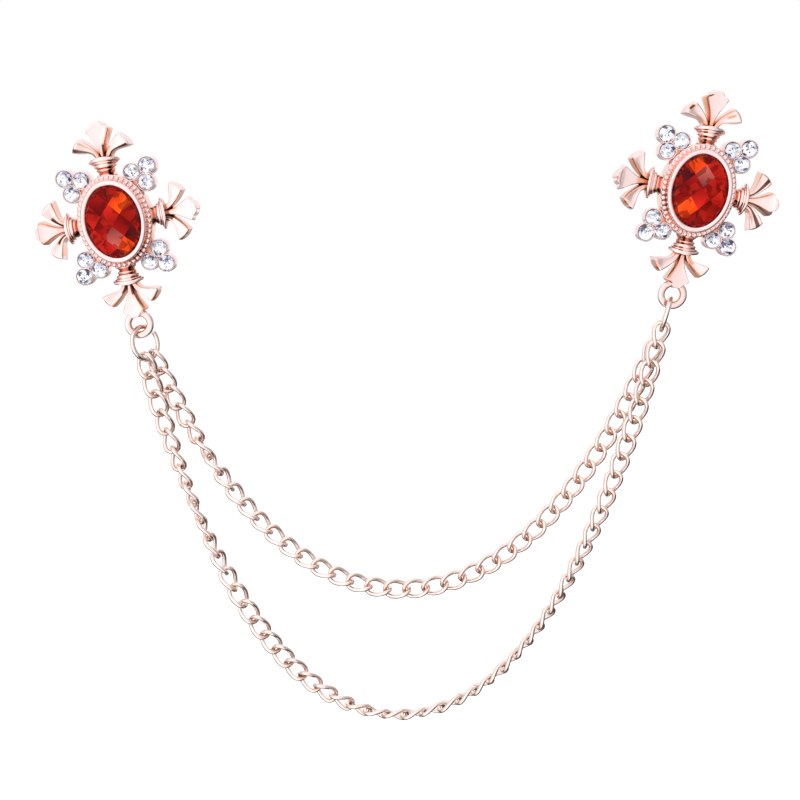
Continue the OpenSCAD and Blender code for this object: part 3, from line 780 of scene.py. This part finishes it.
# Facets' painted reflections by their places on the stone, in half facets across and along from the pattern's
# middle
FACET_TONES = {
    (0, 0): BRIGHT_RED, (1, 1): RED_ORANGE, (0, -2): SALMON, (-1, -1): DEEP_RED, (-1, 1): DEEP_RED,
    (1, -1): DEEP_RED, (0, 2): MAROON, (2, 0): DEEP_RED, (-2, 0): BRIGHT_RED, (-1, -3): BRIGHT_RED,
    (1, -3): RED_ORANGE, (2, 2): RED_ORANGE, (-2, 2): MAROON, (2, -2): MAROON, (-2, -2): BRIGHT_RED,
    (0, -4): RED_ORANGE, (1, 3): BRIGHT_RED, (-1, 3): MAROON}
RIM_TONES = [MAROON, DUSKY, DEEP_RED, BRIGHT_RED, MAROON]
RIM_FROM = 0.84  # the outermost facets start at this share of the stone's radius

# Orange gleams on a stone lying as the left one does: across, along and how far they reach
GLINTS = [(2.2, 3.1, 1.5), (1.0, -5.2, 0.9)]
SHINE = 0.30  # how much brighter a facet grows, per millimetre towards one side


def facet_colour(x, y, dice):
    """Painted reflection colour of the facet whose middle is at x, y on a stone lying as the left one does.
    """
    edge = math.hypot(x / (STONE_W / 2), y / (STONE_L / 2))
    i = round(x / (FACET_W / 2))
    j = round((y - FACET_SHIFT) / (FACET_L / 2))
    tone = Vector(FACET_TONES.get((i, j), DEEP_RED))
    if edge > RIM_FROM:
        tone = Vector(dice.choice(RIM_TONES))
    return tone * (0.85 + 0.3 * dice.random())


def stone(side):
    """Oval stone: diamond facets over a shallow dome, a girdle and a bevelled back."""
    bm = bmesh.new()
    dice = random.Random(3)
    points = []
    for i in range(-5, 6):
        for j in range(-5, 6):
            x, y = i * FACET_W / 2, j * FACET_L / 2 + FACET_SHIFT
            share = math.hypot(x / (STONE_W / 2 - RIM_INSET), y / (STONE_L / 2 - RIM_INSET))
            if (i + j) % 2 and share < 0.96:
                points.append(Vector((x, y, dome_z(x, y))))
    for k in range(48):
        a = TURN * k / 48
        p = oval_point(-RIM_INSET, 0.0, a)
        points.append(Vector((p.x, p.y, dome_z(p.x, p.y))))
        points.append(oval_point(0.0, GIRDLE_H + GIRDLE_T, a))
        points.append(oval_point(0.0, GIRDLE_H, a))
        points.append(oval_point(-PAVILION_INSET, PAVILION_H, a))
    for p in points:
        bm.verts.new(p)
    bmesh.ops.convex_hull(bm, input=bm.verts)
    bmesh.ops.dissolve_limit(bm, angle_limit=math.radians(1.0), verts=bm.verts, edges=bm.edges)
    facet = bm.loops.layers.float_color.new("facet")
    shift = bm.faces.layers.float_vector.new("shift")
    # Painted reflections: each facet's tone, brighter towards a random side, with orange gleams laid near the
    # GLINTS
    for face in bm.faces:
        middle = face.calc_center_median()
        tone = facet_colour(middle.x, middle.y, dice)
        way = dice.random() * TURN
        for loop in face.loops:
            out = loop.vert.co - middle
            lit = 1.0 + SHINE * (out.x * math.cos(way) + out.y * math.sin(way))
            spot = loop.vert.co
            glint = max(reach - math.hypot(spot.x - x, spot.y - y) for x, y, reach in GLINTS)
            blend = (tone * max(lit, 0.3)).lerp(Vector(ORANGE), min(1.0, max(0.0, glint)))
            loop[facet] = colour(*blend)
        face[shift] = Vector((dice.random(), dice.random(), dice.random())) * 0.05
    half_turn = Matrix.Rotation(TURN / 2 if side == "right" else 0.0, 4, "Z")
    matrix = scaled_turn(PLACES[side], LEANS[side]) @ half_turn
    kept(bm, "red_stone_" + side, matrix, RED, "gem_" + side, sharp=0.5)


LIGHT_TONES = [(1.0, 1.0, 1.0), (1.0, 1.0, 1.0), (0.94, 0.94, 1.0)]
SHADE_TONES = [(0.72, 0.72, 0.90), (0.42, 0.42, 0.60), (0.10, 0.10, 0.18), (0.03, 0.03, 0.08)]
SHADED_UPPER, SHADED_LOWER = 0.75, 0.30  # chance of a shade on a facet in a stone's upper part, and below it


def crystal(side, number):
    """Round brilliant: star and kite facets round an eight-sided table."""
    bm = bmesh.new()
    dice = random.Random(number * 7 + len(side))
    r = CRYSTAL_D / 2
    spots = [Vector((0, 0, -CRYSTAL_D * PAVILION_TIP))]
    for k in range(8):
        a = TURN * k / 8
        b = a + TURN / 16
        spots.append(polar(TABLE_R * r, a, CRYSTAL_D * CROWN_H))
        spots.append(polar(STAR_R * r, b, CRYSTAL_D * STAR_H))
        spots.append(polar(BACK_R * r, b, -CRYSTAL_D * BACK_H))
    for k in range(16):
        a = TURN * k / 16
        spots.append(polar(r, a, 0.0))
        spots.append(polar(r, a, -CRYSTAL_D * BELT_H))
    for p in spots:
        bm.verts.new(p)
    bmesh.ops.convex_hull(bm, input=bm.verts)
    bmesh.ops.dissolve_limit(bm, angle_limit=math.radians(1.0), verts=bm.verts, edges=bm.edges)
    table = max(bm.faces, key=lambda f: f.calc_center_median().z)
    bmesh.ops.poke(bm, faces=[table])
    table_z = CRYSTAL_D * CROWN_H
    wedges = [e for e in bm.edges if all(abs(v.co.z - table_z) < MERGE_DISTANCE for v in e.verts)]
    bmesh.ops.subdivide_edges(bm, edges=wedges, cuts=1, use_grid_fill=True)
    corner = CORNERS[(number - 1) // 3]
    place = cluster_place((number - 1) % 3) + Vector((0, 0, CUP_H - CRYSTAL_SEAT))
    spin = Matrix.Rotation(dice.random() * TURN, 4, "Z")
    matrix = scaled_turn(PLACES[side], LEANS[side]) @ at_corner(corner) @ Matrix.Translation(place) @ spin
    facet = bm.faces.layers.float_color.new("facet")
    for face in bm.faces:
        lift = (matrix.to_3x3() @ face.calc_center_median()).z / (r * MM)
        shaded = dice.random() < (SHADED_UPPER if lift > 0.15 else SHADED_LOWER)
        face[facet] = colour(*dice.choice(SHADE_TONES if shaded else LIGHT_TONES))
    name = "%s_%02d" % (side, number)
    kept(bm, "clear_stone_" + name, matrix, CLEAR, "crystal_" + name, sharp=0.5)


# Jump rings and chains

def loop_place(side):
    """Middle of a cast loop, across and up."""
    lean = math.radians(LEANS[side])
    x, z = PLACES[side]
    return x + LOOP_Y * math.sin(lean), z + LOOP_Y * math.cos(lean)


def swing_of(side):
    return math.radians(RING_SWING if side == "left" else -RING_SWING)


def ring_place(side):
    """Middle of a jump ring that hangs in its cast loop, across and up."""
    drop = LOOP_HOLE_R - RING_WIRE / 2 - RING_GAPS[side] + RING_R
    x, z = loop_place(side)
    swing = swing_of(side)
    return x + drop * math.sin(swing), z - drop * math.cos(swing)


def ring_point(side, along):
    """Point of a jump ring's centreline, a distance along its wire behind its lowest point."""
    t = along / RING_R
    out, down = RING_R * math.sin(t), RING_R * math.cos(t)
    swing, yaw = swing_of(side), math.radians(RING_YAWS[side])
    x, z = ring_place(side)
    return Vector((
        x + out * math.cos(yaw) * math.cos(swing) + down * math.sin(swing),
        CHAIN_Y + out * math.sin(yaw),
        z + out * math.cos(yaw) * math.sin(swing) - down * math.cos(swing)))


RING_DEEP, RING_TINT = 0.1, 0.5


def jump_ring(side):
    """Round wire bent to a ring that stays open by a narrow cut."""
    bm = new_shape()
    deep = deep_of(bm)
    tint = bm.verts.layers.float.new("tint")
    made = wire_end(bm, RING_WIRE, 20, RING_R, filled=True)
    faces = list(made[0].link_faces)
    cut = RING_CUT / RING_R
    bmesh.ops.spin(
        bm, geom=faces, cent=(0, 0, 0), axis=(0, 0, 1), angle=TURN - cut, steps=72, use_duplicate=False)
    matrix = (
        Matrix.Scale(MM, 4) @ Matrix.Translation((ring_place(side)[0], CHAIN_Y, ring_place(side)[1]))
        @ Matrix.Rotation(-swing_of(side), 4, "Y") @ Matrix.Rotation(math.radians(RING_YAWS[side]), 4, "Z")
        @ Matrix.Rotation(math.radians(90), 4, "X") @ Matrix.Rotation(math.radians(CUT_FROM) + cut, 4, "Z"))
    for v in bm.verts:
        v[deep] = RING_DEEP
        v[tint] = RING_TINT
    kept(bm, "open_ring_" + side, matrix, WIRE, "jump_ring_" + side)


# Each chain: its length, where it hooks along the rings' wire, how far from their plane it lies, how much its
# end links turn on the left and right rings, and how its links turn along it, as (share, degrees)
CHAINS = {
    "inner": {
        "length": 142.8, "arc": 1.2, "lay": 1.1, "hooks": (16.0, 30.0),
        "rolls": [(0, 0), (0.04, 5), (0.09, 32), (0.20, 125), (0.42, 135), (0.58, 180), (1, 180)]},
    "outer": {
        "length": 184.0, "arc": -1.2, "lay": -1.25, "hooks": (0.0, 30.0),
        "rolls": [
            (0, 0), (0.04, 5), (0.10, 50), (0.18, 85), (0.22, 110), (0.29, 178), (0.36, 180), (0.44, 236),
            (0.46, 248), (0.48, 239), (0.50, 251), (0.52, 241), (0.54, 252), (0.58, 252), (0.60, 243),
            (0.62, 251), (0.68, 245), (0.76, 225), (0.88, 190), (1, 180)]}}
SETTLE, ROLL_SETTLE = 4, 2  # links from an end until the chain lies and turns as its middle does


def looked_up(table, share):
    """Value of a table of (share, value) rows, in between them too."""
    for (a, va), (b, vb) in zip(table, table[1:]):
        if share <= b:
            return va + (vb - va) * (share - a) / (b - a)
    return table[-1][1]


def hung_curve(a, b, length):
    """Scale, lowest x and height offset of a chain of that length hung from a to b."""
    dx, dz = b.x - a.x, b.z - a.z
    want = math.sqrt(length * length - dz * dz) / dx
    low, high = 0.001, 8.0
    for _ in range(50):
        m = (low + high) / 2
        if math.sinh(m) / m < want:
            low = m
        else:
            high = m
    scale = dx / 2 / low
    x0 = (a.x + b.x) / 2 - scale * math.atanh(dz / length)
    return scale, x0, a.z - scale * math.cosh((a.x - x0) / scale)


def stations(chain):
    """Middle, slope and roll of each link of a chain."""
    reach = (LINK_L - LINK_WIRE) / 2 - (RING_WIRE + LINK_WIRE) / 2 - HOOK_GAP
    n = math.ceil((chain["length"] - LINK_L) / (LINK_L - 2 * LINK_WIRE - LINK_PLAY)) + 1
    pitch = (chain["length"] - LINK_L) / (n - 1)
    a, b = ring_point("left", chain["arc"]), ring_point("right", chain["arc"])
    scale, x0, z0 = hung_curve(a, b, (n - 1) * pitch + 2 * reach)
    start = scale * math.sinh((a.x - x0) / scale) + reach
    out = []
    for i in range(n):
        q = start + i * pitch
        end = min(i, n - 1 - i)
        hook, hook_roll = (a, chain["hooks"][0]) if i < n / 2 else (b, chain["hooks"][1])
        y = hook.y + (CHAIN_Y + chain["lay"] - hook.y) * min(end / SETTLE, 1.0)
        roll = looked_up(chain["rolls"], i / (n - 1)) + hook_roll * (1 - min(end / ROLL_SETTLE, 1.0))
        place = Vector((x0 + scale * math.asinh(q / scale), y, z0 + math.sqrt(scale * scale + q * q)))
        out.append((place, math.atan2(q, scale), math.radians(roll)))
    return out


PATTERN_R = 10.0  # the wire is first spun about a wide circle, then laid along the link's oval


def curb_link():
    """One link: round wire on an oval, twisted so that it lies flat on its neighbours."""
    bm = new_shape()
    deep = deep_of(bm)
    made = wire_end(bm, LINK_WIRE, 10, PATTERN_R)
    edges = edges_of(made)
    bmesh.ops.spin(
        bm, geom=made + edges, cent=(0, 0, 0), axis=(0, 0, 1), angle=TURN, steps=32, use_merge=True)
    half_w, half_l = (LINK_W - LINK_WIRE) / 2, (LINK_L - LINK_WIRE) / 2
    for v in bm.verts:
        t = math.atan2(v.co.y, v.co.x)
        out, up = v.co.xy.length - PATTERN_R, v.co.z
        course = Vector((-half_w * math.sin(t), half_l * math.cos(t), 2 * LINK_RISE * math.cos(2 * t)))
        course.normalize()
        aside = course.cross(Vector((0, 0, 1))).normalized()
        lift = aside.cross(course)
        place = Vector((half_w * math.cos(t), half_l * math.sin(t), LINK_RISE * math.sin(2 * t)))
        v.co = place + aside * out + lift * up
        # Painted shade on the inner side of the wire, most at the link's ends where it lies in the next link
        inside = max(0.0, -out / (LINK_WIRE / 2))
        v[deep] = inside * (0.40 + 1.1 * max(0.0, abs(math.sin(t)) - 0.3))
    mesh = bpy.data.meshes.new("curb_link_pattern")
    bm.to_mesh(mesh)
    bm.free()
    return mesh


def chain_piece(name, pattern):
    """A whole chain: the link's pattern laid at every station."""
    bm = new_shape()
    bm.verts.layers.float.new("tint")
    dice = random.Random(len(name))
    for place, slope, roll in stations(CHAINS[name]):
        along = Vector((math.cos(slope), 0, math.sin(slope)))
        front = Vector((0, -1, 0))
        across = along.cross(front)
        aside = across * math.cos(roll) - front * math.sin(roll)
        face = across * math.sin(roll) + front * math.cos(roll)
        turn = Matrix((aside, along, face)).transposed().to_4x4()
        link = new_shape()
        link.from_mesh(pattern)
        tint = link.verts.layers.float.new("tint")
        shade = dice.random()
        for v in link.verts:
            v[tint] = shade
        joined(bm, link, Matrix.Translation(place) @ turn)
    kept(bm, "curb_chain_" + name, Matrix.Scale(MM, 4), WIRE, "chain_" + name, sharp=60.0)


# Pins

def add_block(bm, middle, sizes):
    """Block with rounded edges."""
    block = new_shape()
    bmesh.ops.create_cube(block, size=1.0)
    bmesh.ops.scale(block, verts=block.verts, vec=sizes)
    bmesh.ops.bevel(
        block, geom=list(block.edges), offset=BAR_EDGE, segments=2, profile=0.5, affect="EDGES", material=-1)
    joined(bm, block, Matrix.Translation(middle))


def pin(side):
    """Bar with rounded edges, hinge and catch posts and the stem, behind the casting."""
    bm = new_shape()
    add_block(bm, (0, 0, -BAR_GAP - BAR_T / 2), (BAR_L, BAR_W, BAR_T))
    eye = STEM_D / 2 + EYE_WALL
    lie = Matrix.Rotation(QUARTER, 4, "Y")
    high = STEM_OUT - BAR_GAP - BAR_T / 2
    end = POST_L / 2
    barrel_profile = [
        (0, -end), (eye - EYE_EDGE, -end), (eye, EYE_EDGE - end),
        (eye, end - EYE_EDGE), (eye - EYE_EDGE, end), (0, end)]
    for s in (1, -1):
        middle = s * (BAR_L - POST_L) / 2
        add_block(bm, (middle, 0, -STEM_OUT + high / 2), (POST_L, 2 * eye, high))
        barrel = new_shape()
        spun(barrel, barrel_profile, 32)
        joined(bm, barrel, Matrix.Translation((middle, 0, -STEM_OUT)) @ lie)
    r = STEM_D / 2
    start, stop = -BAR_L / 2 + POST_L / 2, BAR_L / 2
    stem = new_shape()
    stem_profile = [
        (0, start), (r, start), (r, stop), (r * 0.8, stop + STEM_TIP * 0.4),
        (r * 0.4, stop + STEM_TIP * 0.85), (0.0, stop + STEM_TIP)]
    spun(stem, stem_profile, 24)
    joined(bm, stem, Matrix.Translation((0, 0, -STEM_OUT)) @ lie)
    matrix = scaled_turn(PLACES[side], LEANS[side])
    kept(bm, "bar_pin_" + side, matrix, PIN_STEEL, "pin_" + side)


link_pattern = curb_link()
for side in ("left", "right"):
    casting(side)
    stone(side)
    for number in range(1, 13):
        crystal(side, number)
    jump_ring(side)
    pin(side)
for name in ("inner", "outer"):
    chain_piece(name, link_pattern)

NODE_MATERIALS = {
    "brooch": CASTING, "jump": CASTING, "gem": RED, "crystal": CLEAR, "pin": PIN_STEEL, "chain": WIRE}
for node_name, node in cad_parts.items():
    node.data.materials.clear()
    node.data.materials.append(NODE_MATERIALS[node_name.split("_")[0]])


# Stage

def tent_light(name):
    """Soft light from all round: bright in front and above, greyer on the right and dark low down."""
    material = bpy.data.materials.new(name)
    material.use_nodes = True
    tree = material.node_tree
    tree.nodes.clear()
    at = add_node(tree, "VectorMath", {"operation": "NORMALIZE"}, {0: places_of(tree)})
    x = add_node(tree, "SeparateXYZ", {}, {0: at}, out=0)
    y = add_node(tree, "SeparateXYZ", {}, {0: at}, out=1)
    z = add_node(tree, "SeparateXYZ", {}, {0: at}, out=2)
    front = (0.0 - y).step(0.25, 0.85)
    behind = y.step(0.3, 0.8)
    level = 0.80 + front * (0.42 - x * 0.5) + z.step(0.3, 0.9) * 0.25
    level = level - x.step(0.45, 0.75) * 0.30 + behind * 0.22
    flank = (x * 0.64 - z * 0.77).step(0.70, 0.80)
    below = (0.0 - z).step(0.34, 0.60) * y.step(-0.30, 0.0)
    under = (0.0 - z).step(0.13, 0.24) * behind
    level = level * (1.0 - flank.maths("MAXIMUM", below) * 0.86) * (1.0 - under * 0.45)
    tone = mix(tree, level.clamp(0.0, 1.0), colour(0.96, 0.84, 0.80), colour(0.97, 0.985, 1.0))
    glow = tree.nodes.new("ShaderNodeEmission")
    tree.links.new(tone.socket, glow.inputs[0])
    tree.links.new(level.clamp(0.02, 2.0).socket, glow.inputs[1])
    output = tree.nodes.new("ShaderNodeOutputMaterial")
    tree.links.new(glow.outputs[0], output.inputs[0])
    return material


def staged(bm, name, material):
    mesh = bpy.data.meshes.new(name)
    bm.to_mesh(mesh)
    bm.free()
    mesh.materials.append(material)
    thing = bpy.data.objects.new(name, mesh)
    bpy.context.scene.collection.objects.link(thing)
    return thing


# In metres and degrees, the lens and the sensor's width in millimetres
FLOOR_MIDDLE, FLOOR_HALF = (0.05, 0.0, -0.135), 3.0
TENT_R = 4.5
CAMERA_PLACE, CAMERA_TIP, CAMERA_LENS, SENSOR_W = (0.050305, -0.2376, 0.010759), 10.466, 58.60, 36.0

ground = bmesh.new()
bmesh.ops.create_grid(ground, x_segments=1, y_segments=1, size=FLOOR_HALF)
bmesh.ops.translate(ground, verts=ground.verts, vec=FLOOR_MIDDLE)
floor = staged(ground, "floor", plain_floor("pale_floor"))
floor.visible_glossy = False
around = bmesh.new()
bmesh.ops.create_uvsphere(around, u_segments=64, v_segments=32, radius=TENT_R)
tent = staged(around, "light_tent", tent_light("light_tent_glow"))
tent.visible_camera = False

world = bpy.data.worlds.new("white_room")
bpy.context.scene.world = world
world.use_nodes = True
background = world.node_tree.nodes["Background"]
background.inputs[0].default_value = colour(1.0, 1.0, 1.0)
background.inputs[1].default_value = 1.0

scene = bpy.context.scene
scene.view_settings.view_transform = "Standard"
lens = bpy.data.cameras.new("view")
lens.lens = CAMERA_LENS
lens.sensor_width = SENSOR_W
camera = bpy.data.objects.new("view", lens)
scene.collection.objects.link(camera)
camera.location = CAMERA_PLACE
camera.rotation_euler = (QUARTER - math.radians(CAMERA_TIP), 0, 0)
scene.camera = camera
